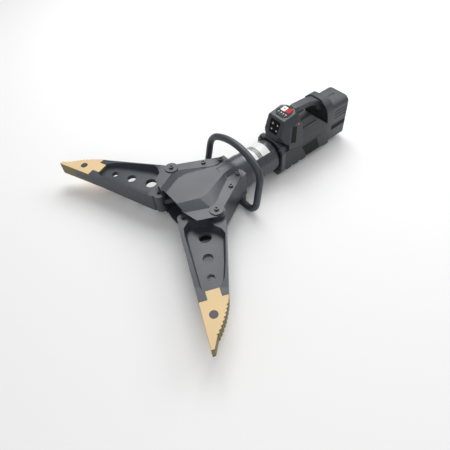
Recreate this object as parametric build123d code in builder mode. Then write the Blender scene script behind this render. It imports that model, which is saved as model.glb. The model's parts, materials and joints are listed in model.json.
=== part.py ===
import os
from math import atan2, cos, degrees, radians, sin, sqrt

from build123d import *

os.makedirs("parts", exist_ok=True)

# Cordless rescue spreader, millimetres. The length runs along Y: tips towards -Y, battery
# towards +Y. Z is up. The origin is on the floor, under the middle of the overall length.
# Distances along the tool are counted from the line through the two arm pivots, and heights
# from the tool axis, which is the cylinder's centre line and the arms' middle plane.

# Driving dimensions of the whole tool
pivot_span = 201.4            # between the two arm pivots
open_angle = 39.9             # each arm's centre line in front of the pivot line, arms open
axis_height = 59.0            # tool axis above the floor
closing_angle = 67.0          # each arm's travel from open to closed

# Fits
running_gap = 0.05            # radial, on pins and rods
slide_gap = 0.4               # between faces that pass each other
seat_gap = 0.15               # between loosely fitted pieces of one body

# Arm
hub_radius = 22.0
arm_root_half = 28.0          # half thickness beside the hub
arm_end_half = 18.5           # half thickness at the tip
taper_start = 40.0
taper_end = 204.0
outer_edge_root = 22.0        # outer edge, distance from the arm's centre line
outer_edge_slope = 0.0475
inner_edge_gap = 0.3          # arm's inner face to the tool's middle plane when closed
tab_radius = 17.0             # round end that carries the link pin
link_pin_u = 12.5
link_pin_v = -82.3
web_half = 6.0                # half thickness of the web in the pocket
pocket_draft = 16.0
pocket_fillet = 5.0
pocket_start = 62.0
pocket_middle = 138.0
pocket_inner_start = 46.0
outer_rib = 9.0               # rims left beside the pocket
inner_rib = 15.0
hub_side = ((52.0, 9.0), (42.0, -9.0), (25.0, -24.0), (23.0, -46.0), (29.0, -66.0))
lightening_holes = ((57.4, -28.9, 16.0), (118.7, -18.8, 13.0), (172.0, -9.0, 9.5))
bush_wall = 3.0
pivot_pin_radius = 13.0

# Tip
tip_u = 344.7                 # from the pivot to the tip's end
tip_end_width = 7.0
shoulder_u = 220.9            # outer shoulder corner, from the pivot
shoulder_angle = 17.4         # the tip is pushed on at this angle to the arm
tang_offset = 15.0            # from the outer shoulder corner to the tang
tang_length = 22.0
tang_width = 32.5
nose_half = 11.5              # half thickness of the arm's nose inside the tip
nose_front = 297.0
tip_wall = 9.0                # tip's outer wall beside the nose
tip_pin_u = 268.4
tip_pin_v = 1.9
tip_pin_radius = 9.8
tooth_count = 8
tooth_depth = 3.2
tooth_ramp = 7.5
teeth_from = 0.26             # share of the curved edge in front of the first and last tooth
teeth_to = 0.97
tooth_back = 0.8              # length of a tooth's steep side along the edge

# Linkage
link_length = 50.0
link_angle = 26.9             # rearwards link direction, turned outwards from +Y, arms open
link_half_thickness = 7.5
link_half_width = 12.0
link_pin_radius = 8.5
link_pin_recess = 5.5
link_pin_neck = 6.0
slider_pin_radius = 6.0
slot_offset_x = -6.88         # crosshead slot's centre from the link's rear pin, arms open
slot_offset_y = -1.03
slot_play_x = 7.6             # clearance of the open pivot, each way
slot_play_y = 2.2
crosshead_stroke = 86.0
crosshead_wall = 7.0
crosshead_plate = 8.0
crosshead_inner_half = 8.2
crosshead_neck = 12.0         # solid part behind the slots that holds the rod
clevis_play = 3.0
clevis_reach = 60.0
clevis_direction = 168.0      # middle of the link's swing, seen from the arm

# Yoke and covers
yoke_waist_x = 55.0
yoke_waist_y = 112.0
yoke_neck_y = 141.0
yoke_front_x = 48.0
yoke_front_y = 34.0
ear_inner_half = 30.0
ear_thickness = 9.0
ear_radius = 22.0
yoke_wall = 9.0
cover_thickness = 3.0
cover_gap = 0.5
panel_rise = 9.0
dome_gap = 1.0                # between the dome and the yoke's barrel
boss_radius = 20.0
boss_height = 3.0
bolt_head_radius = 6.2
bolt_head_height = 4.5
bolt_shank_radius = 4.0
bolt_dome_gap = 0.1           # between the rear bolt heads and the dome's side
flange_shoulder = 14.2        # the flange's corners, out from the dome's side
flange_tail = 0.2
cover_rear_upper = 136.0
cover_rear_lower = 100.0
dome_front = 84.0
dome_rear = 130.0
bolt_length = 11.0
nut_radius = 11.0

# Cylinder
barrel_radius = 48.5          # rear collar of the yoke
barrel_end = 165.0
cover_low = ear_inner_half + ear_thickness + cover_gap
flange_top = cover_low + cover_thickness
dome_radius = barrel_radius + dome_gap + cover_thickness
dome_side = sqrt(dome_radius**2 - flange_top**2)      # half width where it meets the flange
cover_bolts_upper = ((59.8, 78.4), (dome_side + bolt_head_radius + bolt_dome_gap, 120.1))
cover_bolts_lower = ((59.8, 78.4), (54.0, 88.0))
tube_radius = 47.5
tube_end = 268.0
spigot_radius = 41.5
spigot_start = 136.0
bore_radius = 36.0
rod_radius = 16.0
gland_radius = 25.0
bulkhead_front = 104.0
piston_length = 24.0
base_length = 12.0
seal_ring_radius = 51.0
seal_ring_front = 264.0
seal_ring_fillet = 1.8
piston_rest = 142.0           # piston's front face, arms open

# Hoop handle
hoop_tube_radius = 9.5
hoop_wall = 2.5
hoop_base_y = 127.7
hoop_lean = 0.21              # rearwards shift per unit of height
hoop_top = 101.3
hoop_arch = 31.4
hoop_shoulder_x = 104.3
hoop_side_x = 110.5
hoop_bottom = -49.5
hoop_end_x = 33.0
hoop_top_radius = 47.0
hoop_bottom_radius = 30.0
lug_front = 101.5
lug_rear = 133.0
lug_center_x = 41.0
lug_width = 26.0
lug_bottom = -53.0
lug_wall = 6.0
screw_radius = 2.5
screw_head_radius = 3.6
screw_head_height = 3.0

# Pump unit
foot_height = 4.0
foot_x = 28.0
foot_width = 18.0
foot_length = 22.0
foot_rows = (318.0, 348.0, 378.0)
tail_start = 398.0            # the lower housing rises to the battery's bottom from here
tail_slope = 12.0
battery_bottom = -44.0
flange_shoulder_x = 43.0
flange_shoulder_z = 45.0
flange_top_x = 22.0
flange_top_z = 52.0
flange_chamfer = 1.5
flange_screw_places = ((40.5, 37.5), (-40.5, 37.5), (42.0, -37.0), (-42.0, -37.0))
housing_half = 50.0
housing_bottom_half = 37.0
housing_chamfer_top = -36.0
flange_start = 270.0
flange_length = 13.0
flange_margin = 2.5
housing_end = 452.0
belt_front = 28.0             # height of the joint line between the housings
belt_rear = 14.0
belt_front_y = 297.0
belt_rear_y = 356.0
shell_wall = 3.0
cover_top_end = 412.0
cover_rear_z = 41.0
cover_top_z = 77.0            # crest of the cover's hump
hump_half = 22.0
hump_fillet = 18.0
shoulder_start_x = 33.0       # flat shoulder beside the hump, with the vents in it
cover_shoulder_z = 68.0
shoulder_fillet = 4.0
vent_start = 359.0
vent_x = 38.5
vent_count = 10
vent_pitch = 5.5
vent_length = 8.0
vent_width = 2.4
belt_gap = 0.8                # open joint between the housings
trim_thickness = 0.6

# Control head
head_front_y = 273.8
head_front_z = 53.2
head_front_top_y = 292.0
head_front_top_z = 115.5
head_top_rear_y = 345.0
head_rear_top_z = 124.0
head_rear_y = 352.0
head_corner_z = 118.0
head_chin_y = 284.5           # rear end of the head's level underside
head_fillet = 2.0
side_normal = (0.9928, 0.0, 0.1198)        # the head's and the motor cover's sloping sides
side_point = (43.0, 300.0, 98.0)
facet_normal = (0.842, -0.506, 0.186)      # slanted faces beside the head's front face
facet_point = (39.0, 293.8, 81.6)
chin_normal = (0.446, -0.875, -0.184)      # cut lower corners of the front face
chin_point = (17.2, 274.8, 56.3)
crown_normal = (0.821, -0.085, 0.564)      # slanted faces beside the display
crown_point = (43.0, 311.0, 97.5)
nape_normal = (0.56, 0.61, 0.561)          # slanted faces at the head's rear top corners
nape_point = (35.6, 327.5, 122.9)
collar_front = 298.0          # below this height the head's front wall is upright
collar_top = 45.0
motor_head_top = 66.0         # opening in the head's rear wall for the motor
display_start = 9.0           # on the top face, from its front edge
display_length = 43.0
display_half = 23.0
display_recess = 2.0
display_floor = 5.0
display_proud = 0.8
display_pocket = 2.0
display_window_place = (-8.5, 37.5)
display_window_size = (16.0, 18.0)
power_button_place = (9.0, 37.5)
power_button_size = (16.0, 18.0)
button_proud = 0.8
button_gap = 0.8
button_travel = 0.7
light_start = 17.2             # on the front face, from its lower edge
light_height = 40.0
light_half_bottom = 16.0
light_half_top = 19.0
light_recess = 5.0
reflector_thickness = 2.0
light_radius = 5.0
light_seat = 1.2
light_places = ((9.0, 27.4), (-9.0, 27.4), (9.0, 44.0), (-9.0, 44.0))
status_light_y = 334.0
status_light_z = 97.0
status_light_radius = 2.5

# Dock and battery
dock_front = 445.0
dock_top = 108.0
dock_half = 47.0
dock_corner = 36.0
dock_rim = 4.0                # rim round the arched pocket in the dock's front
dock_pocket_end = 460.0
socket_half = 30.0
socket_depth = 9.0
contact_places = (-16.0, 0.0, 16.0)
contact_thickness = 1.5
contact_height = 20.0
contact_length = 11.0
battery_start = 474.0
battery_end = 551.0
battery_top = 86.0
battery_half = 42.5
battery_corner = 20.0         # upper corners, seen from the rear
battery_foot = 8.0            # lower corners
battery_rear_fillet = 7.0
battery_wall = 3.0
latch_y = 515.5
latch_z = 5.0
latch_length = 62.0
latch_height = 16.0
latch_sunk = 1.8
groove_places = (36.0, 47.0, 58.0)
groove_length = 52.0
groove_width = 4.0
groove_depth = 1.4
top_slot_y = 513.0
top_slot_length = 30.0
top_slot_width = 5.0
cell_pitch = 20.5
cell_columns = 3
cell_rows = 5
cell_radius = 9.25
cell_length = 65.0

# Grip
grip_half = 15.0
grip_top = 121.0
grip_height = 18.0
grip_fillet = 6.5
grip_middle_y = 408.0
grip_drop_y = 434.0
switch_y = 379.0
switch_z = 103.0
switch_pocket = 10.0
switch_width = 14.0
switch_length = 26.0
switch_play = 1.5
switch_pivot_radius = 2.0

# Inside the pump unit
spigot_length = 14.0
pump_width = 68.0
pump_height = 2.0
pump_length = 40.0
motor_height = 22.0
motor_radius = 36.0
rotor_radius = 22.0
motor_length = 74.0
shaft_radius = 5.0
bladder_width = 64.0
bladder_height = 30.0
board_height = 84.0
board_width = 52.0
board_length = 34.0


def pivot_line_y():
    """Middle of the overall length at Y = 0."""
    reach = tip_u * sin(radians(open_angle))
    return (reach - battery_end) / 2


pivot_x = pivot_span / 2
pivot_y = pivot_line_y()
arm_cos = cos(radians(open_angle))
arm_sin = sin(radians(open_angle))


def level(height):
    """Horizontal plane, its origin on the pivot line, height counted from the tool axis."""
    return Plane(origin=(0, pivot_y, axis_height + height), x_dir=(1, 0, 0), z_dir=(0, 0, 1))


def section(distance):
    """Cross-section plane; its normal points forwards and its Y is up."""
    return Plane(origin=(0, pivot_y + distance, axis_height), x_dir=(1, 0, 0), z_dir=(0, -1, 0))


def side(distance):
    """Plane seen from the right: its X runs rearwards, its Y is up."""
    return Plane(origin=(distance, pivot_y, axis_height), x_dir=(0, 1, 0), z_dir=(1, 0, 0))


def arm_level(height):
    """Horizontal plane in the right arm's own directions, its origin on the arm's pivot."""
    origin = (pivot_x, pivot_y, axis_height + height)
    return Plane(origin=origin, x_dir=(arm_cos, -arm_sin, 0), z_dir=(0, 0, 1))


def arm_side():
    """Upright plane along the right arm's centre line; its Y is up."""
    origin = (pivot_x, pivot_y, axis_height)
    return Plane(origin=origin, x_dir=(arm_cos, -arm_sin, 0), z_dir=(-arm_sin, -arm_cos, 0))


def from_arm(u, v):
    """Point on the right arm, given from the pivot line and the tool's middle plane."""
    return (pivot_x + u * arm_cos + v * arm_sin, -u * arm_sin + v * arm_cos)


def save(builder, name):
    builder.part.label = name
    export_step(builder.part, f"parts/{name}.step")


def save_pair(builder, name):
    """Right piece as built, and its mirror image on the left."""
    for prefix, shape in (("right", builder.part), ("left", mirror(builder.part, about=Plane.YZ))):
        shape.label = f"{prefix}_{name}"
        export_step(shape, f"parts/{prefix}_{name}.step")


# Outline of the arm in its own directions
inner_distance = pivot_x - inner_edge_gap
edge_cos = cos(radians(closing_angle + open_angle - 90.0))
edge_sin = sin(radians(closing_angle + open_angle - 90.0))


def inner_edge(u):
    """The arm's inner edge line, which lies on the middle plane when the arms are closed."""
    return (u * edge_sin - inner_distance) / edge_cos


def outer_edge(u):
    return outer_edge_root + outer_edge_slope * u


def shoulder_point(forward, across):
    """Point in the directions in which the tip is pushed on, from the outer shoulder corner."""
    angle = radians(shoulder_angle)
    u = shoulder_u + forward * cos(angle) + across * sin(angle)
    v = outer_edge(shoulder_u) + forward * sin(angle) - across * cos(angle)
    return (u, v)


def shoulder_inner_point(forward):
    """Where the shoulder line meets the arm's inner edge."""
    angle = radians(shoulder_angle)
    start = shoulder_point(forward, 0)
    across = (start[1] - inner_edge(start[0])) / (cos(angle) + sin(angle) * edge_sin / edge_cos)
    return shoulder_point(forward, across)


shoulder_line = (
    shoulder_point(0, 0),
    shoulder_point(0, tang_offset),
    shoulder_point(-tang_length, tang_offset),
    shoulder_point(-tang_length, tang_offset + tang_width),
    shoulder_point(0, tang_offset + tang_width),
    shoulder_inner_point(0),
)

# Right arm: a forging with a web between two pockets, a hub, a link tab and a nose for the tip
taper_profile = (
    (-hub_radius - 10, arm_root_half),
    (taper_start, arm_root_half),
    (taper_end, arm_end_half),
    (tip_u, arm_end_half),
    (tip_u, -arm_end_half),
    (taper_end, -arm_end_half),
    (taper_start, -arm_root_half),
    (-hub_radius - 10, -arm_root_half),
)
pocket_outline = (
    shoulder_point(-tang_length, tang_offset + 1),
    (taper_end - 24, outer_edge(taper_end) - outer_rib - 4),
    (pocket_middle, outer_edge(pocket_middle) - outer_rib),
    (pocket_start, outer_edge(pocket_start) - outer_rib),
    *hub_side,
    (pocket_inner_start, inner_edge(pocket_inner_start) + inner_rib + 2),
    (pocket_start, inner_edge(pocket_start) + inner_rib),
    (pocket_middle, inner_edge(pocket_middle) + inner_rib),
    (taper_end, inner_edge(taper_end) + inner_rib),
    shoulder_point(-tang_length, tang_offset + tang_width - 1),
)

with BuildPart() as right_arm:
    with BuildSketch(arm_level(0)):
        with BuildLine():
            Polyline(
                (0, outer_edge(0)),
                *shoulder_line,
                (inner_distance * edge_sin, -inner_distance * edge_cos),
                (link_pin_u - tab_radius + 0.5, link_pin_v + 4),
                (-hub_radius + 0.3, -3),
                close=True,
            )
        make_face()
        Circle(hub_radius)
        with Locations((link_pin_u, link_pin_v)):
            Circle(tab_radius)
    extrude(amount=arm_root_half)
    with BuildSketch(arm_side()):
        with BuildLine():
            Polyline(*taper_profile, close=True)
        make_face()
    extrude(amount=link_length * 3, both=True, mode=Mode.INTERSECT)
    with BuildSketch(arm_level(0)):
        with BuildLine():
            Polyline(
                shoulder_point(-tang_length, tang_offset),
                shoulder_point(0, tip_wall),
                shoulder_point(tang_length, tip_wall - 2),
                (nose_front, outer_edge(shoulder_u) - 23),
                (nose_front, inner_edge(nose_front)),
                shoulder_inner_point(0),
                shoulder_point(-tang_length, tang_offset + tang_width),
                close=True,
            )
        make_face()
    extrude(amount=nose_half)
    with BuildSketch(arm_level(web_half)) as pocket:
        with BuildLine():
            Polyline(*pocket_outline, close=True)
        make_face()
        fillet(pocket.vertices(), pocket_fillet)
    extrude(amount=arm_root_half - web_half, taper=-pocket_draft, mode=Mode.SUBTRACT)
    with BuildSketch(arm_level(0)):
        for u, v, radius in lightening_holes:
            with Locations((u, v)):
                Circle(radius)
    extrude(amount=arm_root_half, both=True, mode=Mode.SUBTRACT)
    mirror(about=level(0))
    with BuildSketch(arm_level(0)):
        Circle(pivot_pin_radius + bush_wall)
        with Locations((link_pin_u, link_pin_v)):
            Circle(link_pin_radius)
        with Locations((tip_pin_u, tip_pin_v)):
            Circle(tip_pin_radius + running_gap)
    extrude(amount=arm_root_half, both=True, mode=Mode.SUBTRACT)
    with BuildSketch(arm_level(0)):
        with Locations((link_pin_u, link_pin_v)):
            Circle(link_half_width + clevis_play)
            with Locations(Rotation(0, 0, clevis_direction)):
                with Locations((clevis_reach / 2, 0)):
                    Rectangle(clevis_reach, 2 * (link_half_width + clevis_play))
    extrude(amount=link_half_thickness + slide_gap, both=True, mode=Mode.SUBTRACT)
save_pair(right_arm, "arm")

with BuildPart() as arm_bush:
    with BuildSketch(arm_level(0)):
        Circle(pivot_pin_radius + bush_wall)
        Circle(pivot_pin_radius + running_gap, mode=Mode.SUBTRACT)
    extrude(amount=arm_root_half, both=True)
save_pair(arm_bush, "arm_bush")

with BuildPart() as thrust_washers:
    with BuildSketch(level(0)):
        with Locations((pivot_x, 0), (-pivot_x, 0)):
            Circle(hub_radius - 1)
            Circle(pivot_pin_radius + seat_gap, mode=Mode.SUBTRACT)
    washer_half = ear_inner_half - slide_gap / 2
    extrude(amount=washer_half, both=True)
    with BuildSketch(level(0)):
        Rectangle(2 * pivot_span, 4 * hub_radius)
    extrude(amount=arm_root_half + slide_gap / 2, both=True, mode=Mode.SUBTRACT)
save(thrust_washers, "thrust_washers")

# Exchangeable tip: a steel cap that slides over the arm's nose
tip_end_outer = (tip_u - 2.5, inner_edge(tip_u) + tip_end_width)
tooth_curve_end = (tip_u - 28, inner_edge(tip_u) + 11)
tooth_curve_middle = (267, 27.5)


def tip_outline():
    """Outer line of the tip, from the outer shoulder corner to the end."""
    return ThreePointArc(shoulder_point(0, 0), tooth_curve_middle, tooth_curve_end)


with BuildPart() as tip:
    with BuildSketch(arm_level(0)):
        with BuildLine() as tip_line:
            curve = tip_outline()
            Polyline(
                tooth_curve_end,
                tip_end_outer,
                (tip_u, inner_edge(tip_u)),
                *reversed(shoulder_line),
            )
        make_face()
    extrude(amount=arm_end_half, both=True)
    with BuildSketch(arm_level(0)):
        with BuildLine():
            Polyline(
                shoulder_point(-tang_length - 5, -5),
                shoulder_point(0, tip_wall - seat_gap),
                shoulder_point(tang_length, tip_wall - 2 - seat_gap),
                (nose_front + seat_gap, outer_edge(shoulder_u) - 23 + seat_gap),
                (nose_front + seat_gap, inner_edge(nose_front) - 5),
                (shoulder_u - 40, inner_edge(shoulder_u - 40) - 5),
                close=True,
            )
        make_face()
    extrude(amount=nose_half + seat_gap, both=True, mode=Mode.SUBTRACT)
    with BuildSketch(arm_level(0)):
        with Locations((tip_pin_u, tip_pin_v)):
            Circle(tip_pin_radius + running_gap)
        for index in range(tooth_count):
            place = teeth_from + (teeth_to - teeth_from) * index / (tooth_count - 1)
            along = curve % place
            with Locations(Location(curve @ place, (0, 0, degrees(atan2(along.Y, along.X))))):
                Polygon((-tooth_ramp, 1), (tooth_back, 1), (0, -tooth_depth), align=None)
    extrude(amount=arm_end_half, both=True, mode=Mode.SUBTRACT)
save_pair(tip, "tip")

with BuildPart() as tip_pin:
    with BuildSketch(arm_level(0)):
        with Locations((tip_pin_u, tip_pin_v)):
            Circle(tip_pin_radius)
    extrude(amount=arm_end_half - 0.3, both=True)
    chamfer(tip_pin.edges().filter_by(GeomType.CIRCLE), 0.6)
save_pair(tip_pin, "tip_pin")

# Linkage between the crosshead and the arms
tab_x, tab_y = from_arm(link_pin_u, link_pin_v)
slider_x = tab_x - link_length * sin(radians(link_angle))
slider_y = tab_y + link_length * cos(radians(link_angle))
slot_center_x = slider_x + slot_offset_x
slot_center_y = slider_y + slot_offset_y
link_middle = ((tab_x + slider_x) / 2, (tab_y + slider_y) / 2)

with BuildPart() as link:
    with BuildSketch(level(0)):
        with Locations((tab_x, tab_y), (slider_x, slider_y)):
            Circle(link_half_width)
        with Locations(Location(link_middle, (0, 0, 90 + link_angle))):
            Rectangle(link_length, 2 * link_half_width - 5)
        with Locations((tab_x, tab_y)):
            Circle(link_pin_neck + running_gap, mode=Mode.SUBTRACT)
        with Locations((slider_x, slider_y)):
            Circle(slider_pin_radius, mode=Mode.SUBTRACT)
    extrude(amount=link_half_thickness, both=True)
save_pair(link, "link")

with BuildPart() as link_pin:
    with BuildSketch(level(0)):
        with Locations((tab_x, tab_y)):
            Circle(link_pin_radius)
    extrude(amount=arm_root_half - 0.8, both=True)
    with BuildSketch(level(0)):
        with Locations((tab_x, tab_y)):
            Circle(link_pin_radius)
            Circle(link_pin_neck, mode=Mode.SUBTRACT)
    extrude(amount=link_half_thickness + slide_gap, both=True, mode=Mode.SUBTRACT)
    with BuildSketch(level(arm_root_half), level(-arm_root_half)):
        with Locations((tab_x, tab_y)):
            Circle(link_pin_recess)
    extrude(amount=8, both=True, mode=Mode.SUBTRACT)
save_pair(link_pin, "link_pin")

slider_half = crosshead_inner_half + crosshead_plate
with BuildPart() as slider_pin:
    with BuildSketch(level(0)):
        with Locations((slider_x, slider_y)):
            Circle(slider_pin_radius)
    extrude(amount=slider_half, both=True)
save_pair(slider_pin, "slider_pin")

# Crosshead with a cross slot for each link's rear pin, on the piston rod's front end
slot_half_x = slider_pin_radius + slot_play_x
slot_half_y = slider_pin_radius + slot_play_y
crosshead_half_x = slot_center_x + slot_half_x + crosshead_wall
crosshead_front = slot_center_y - slot_half_y - crosshead_wall
crosshead_rear = slot_center_y + slot_half_y + crosshead_wall + crosshead_neck
rod_front = crosshead_rear - crosshead_neck - 2
with BuildPart() as crosshead:
    with BuildSketch(level(0)):
        with Locations((0, (crosshead_front + crosshead_rear) / 2)):
            RectangleRounded(2 * crosshead_half_x, crosshead_rear - crosshead_front, 6)
    extrude(amount=slider_half, both=True)
    with BuildSketch(level(0)):
        with Locations((0, (crosshead_front + crosshead_rear) / 2 - crosshead_neck)):
            Rectangle(2 * crosshead_half_x + 2, crosshead_rear - crosshead_front)
    extrude(amount=crosshead_inner_half, both=True, mode=Mode.SUBTRACT)
    with BuildSketch(level(0)):
        for sign in (1, -1):
            with Locations((sign * slot_center_x, slot_center_y)):
                RectangleRounded(2 * slot_half_x, 2 * slot_half_y, slot_half_y - 0.2)
    extrude(amount=slider_half, both=True, mode=Mode.SUBTRACT)
    with BuildSketch(section(rod_front)):
        Circle(rod_radius)
    extrude(amount=-(crosshead_rear - rod_front + 1), mode=Mode.SUBTRACT)
save(crosshead, "crosshead")

# Piston rod, piston and gland
with BuildPart() as piston_rod:
    with BuildSketch(section(rod_front)):
        Circle(rod_radius)
    extrude(amount=-(piston_rest + piston_length - rod_front))
save(piston_rod, "piston_rod")

with BuildPart() as piston:
    with BuildSketch(section(piston_rest)):
        Circle(bore_radius - running_gap)
        Circle(rod_radius, mode=Mode.SUBTRACT)
    extrude(amount=-piston_length)
    with BuildSketch(section(piston_rest + piston_length / 2 - 3)):
        Circle(bore_radius)
        Circle(bore_radius - 4, mode=Mode.SUBTRACT)
    extrude(amount=-6, mode=Mode.SUBTRACT)
save(piston, "piston")

with BuildPart() as piston_seal:
    with BuildSketch(section(piston_rest + piston_length / 2 - 3)):
        Circle(bore_radius - running_gap)
        Circle(bore_radius - 4, mode=Mode.SUBTRACT)
    extrude(amount=-6)
save(piston_seal, "piston_seal")

with BuildPart() as rod_gland:
    with BuildSketch(section(bulkhead_front)):
        Circle(gland_radius)
        Circle(rod_radius + running_gap, mode=Mode.SUBTRACT)
    extrude(amount=-(spigot_start - bulkhead_front))
save(rod_gland, "rod_gland")

# Cylinder
with BuildPart() as cylinder_tube:
    with BuildSketch(section(spigot_start)):
        Circle(spigot_radius)
        Circle(bore_radius, mode=Mode.SUBTRACT)
    extrude(amount=-(barrel_end - spigot_start))
    with BuildSketch(section(barrel_end)):
        Circle(tube_radius)
        Circle(bore_radius, mode=Mode.SUBTRACT)
    extrude(amount=-(tube_end - barrel_end))
save(cylinder_tube, "cylinder_tube")

with BuildPart() as cylinder_base:
    with BuildSketch(section(tube_end - base_length)):
        Circle(bore_radius)
    extrude(amount=-base_length)
save(cylinder_base, "cylinder_base")

with BuildPart() as seal_ring:
    with BuildSketch(section(seal_ring_front)):
        Circle(seal_ring_radius)
    extrude(amount=-(flange_start - seal_ring_front))
    fillet(seal_ring.edges().filter_by(GeomType.CIRCLE), seal_ring_fillet)
    with BuildSketch(section(seal_ring_front)):
        Circle(tube_radius + seat_gap)
    extrude(amount=-(tube_end - seal_ring_front), mode=Mode.SUBTRACT)
save(seal_ring, "seal_ring")

# Yoke: two cheek plates with the pivot ears, side walls between them, bulkhead and barrel
yoke_outline = (
    (pivot_x + 3, ear_radius),
    (yoke_waist_x, yoke_waist_y),
    (barrel_radius, yoke_neck_y),
    (-barrel_radius, yoke_neck_y),
    (-yoke_waist_x, yoke_waist_y),
    (-pivot_x - 3, ear_radius),
)
ear_top = ear_inner_half + ear_thickness
with BuildPart() as yoke:
    with BuildSketch(level(0)):
        with BuildLine():
            Polyline(
                *yoke_outline,
                (-pivot_x, -ear_radius),
                (-pivot_x + ear_radius + 6, -2),
                (-yoke_front_x, yoke_front_y),
                (yoke_front_x, yoke_front_y),
                (pivot_x - ear_radius - 6, -2),
                (pivot_x, -ear_radius),
                close=True,
            )
        make_face()
        with Locations((pivot_x, 0), (-pivot_x, 0)):
            Circle(ear_radius)
    extrude(amount=ear_top, both=True)
    with BuildSketch(section(bulkhead_front)):
        Circle(barrel_radius)
    extrude(amount=-(barrel_end - bulkhead_front))
    inner_x = yoke_waist_x - yoke_wall
    with BuildSketch(level(0)) as cavity:
        with BuildLine():
            Polyline(
                (pivot_x + 60, -80),
                (pivot_x + 60, ear_radius + slide_gap + 1),
                (pivot_x - 6, ear_radius + slide_gap + 1),
                (inner_x, bulkhead_front - 14),
                (inner_x - 12, bulkhead_front),
                (-inner_x + 12, bulkhead_front),
                (-inner_x, bulkhead_front - 14),
                (-pivot_x + 6, ear_radius + slide_gap + 1),
                (-pivot_x - 60, ear_radius + slide_gap + 1),
                (-pivot_x - 60, -80),
                close=True,
            )
        make_face()
    extrude(amount=ear_inner_half, both=True, mode=Mode.SUBTRACT)
    with BuildSketch(section(bulkhead_front - 1)):
        Circle(gland_radius)
    extrude(amount=-(spigot_start - bulkhead_front + 1), mode=Mode.SUBTRACT)
    with BuildSketch(section(spigot_start)):
        Circle(spigot_radius)
    extrude(amount=-(barrel_end - spigot_start), mode=Mode.SUBTRACT)
    with BuildSketch(level(0)):
        with Locations((pivot_x, 0), (-pivot_x, 0)):
            Circle(pivot_pin_radius)
    extrude(amount=ear_top, both=True, mode=Mode.SUBTRACT)
    for up, bolts in ((1, cover_bolts_upper), (-1, cover_bolts_lower)):
        with BuildSketch(level(up * (ear_top + cover_gap + cover_thickness - bolt_length))):
            with Locations(*bolts, *((-x, y) for x, y in bolts)):
                Circle(bolt_shank_radius)
        extrude(amount=up * bolt_length, mode=Mode.SUBTRACT)
    lug_top = -barrel_radius / 2
    for sign in (1, -1):
        with BuildSketch(section(lug_front)):
            with Locations((sign * lug_center_x, (lug_top + lug_bottom) / 2)):
                Rectangle(lug_width, lug_top - lug_bottom)
        extrude(amount=-(lug_rear - lug_front))
    with BuildSketch(section(bulkhead_front - 1)):
        Circle(gland_radius)
    extrude(amount=-(spigot_start - bulkhead_front + 1), mode=Mode.SUBTRACT)
    hoop_y = hoop_base_y + hoop_lean * hoop_bottom
    with BuildSketch(side(hoop_end_x)):
        with Locations((hoop_y, hoop_bottom)):
            Circle(hoop_tube_radius)
        with Locations((hoop_y, hoop_bottom - hoop_tube_radius)):
            Rectangle(2 * hoop_tube_radius, 2 * hoop_tube_radius)
    extrude(amount=lug_width, mode=Mode.SUBTRACT)
    with BuildSketch(side(-hoop_end_x)):
        with Locations((hoop_y, hoop_bottom)):
            Circle(hoop_tube_radius)
        with Locations((hoop_y, hoop_bottom - hoop_tube_radius)):
            Rectangle(2 * hoop_tube_radius, 2 * hoop_tube_radius)
    extrude(amount=-lug_width, mode=Mode.SUBTRACT)
    with BuildSketch(section(lug_front)):
        with Locations((lug_center_x, hoop_bottom), (-lug_center_x, hoop_bottom)):
            Circle(screw_radius)
    extrude(amount=-lug_wall, mode=Mode.SUBTRACT)
save(yoke, "yoke")

# Cover plates: a folded sheet with a raised middle panel, a dome over the barrel and two bosses
panel_top = flange_top + panel_rise
panel_base = (
    (56, -64),
    (pivot_x - 15, -6),
    (pivot_x - 16, 6),
    (30.5, 91),
    (30.5, 126),
)
panel_crest = (
    (25, -66),
    (48, -13),
    (48, 10),
    (17, 94),
    (17, 122),
)


def mirrored(points):
    """Closed outline from its right half, listed from the front to the rear."""
    return (*points, *((-x, y) for x, y in reversed(points)))


def shrunk(points, amount):
    """Same outline, its sides moved inwards and its front past the sheet's edge."""
    return tuple((x - amount, y - amount * 2 if y < -50 else y - amount) for x, y in points)


def cover_outline(rear_y):
    """Right half of the flange, from the front edge to the rear edge."""
    reach = (yoke_waist_y - ear_radius) / (pivot_x + 3 - yoke_waist_x)
    rear_x = yoke_waist_x + (yoke_waist_y - rear_y) / reach
    if rear_y > yoke_waist_y:
        return ((40, -69), (96, -57), (pivot_x + 18, -12), (pivot_x + 3, ear_radius),
                (yoke_waist_x, yoke_waist_y), (dome_side + flange_shoulder, yoke_neck_y - 12),
                (dome_side + flange_tail, rear_y))
    return ((40, -69), (96, -57), (pivot_x + 18, -12), (pivot_x + 3, ear_radius), (rear_x, rear_y))


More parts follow.
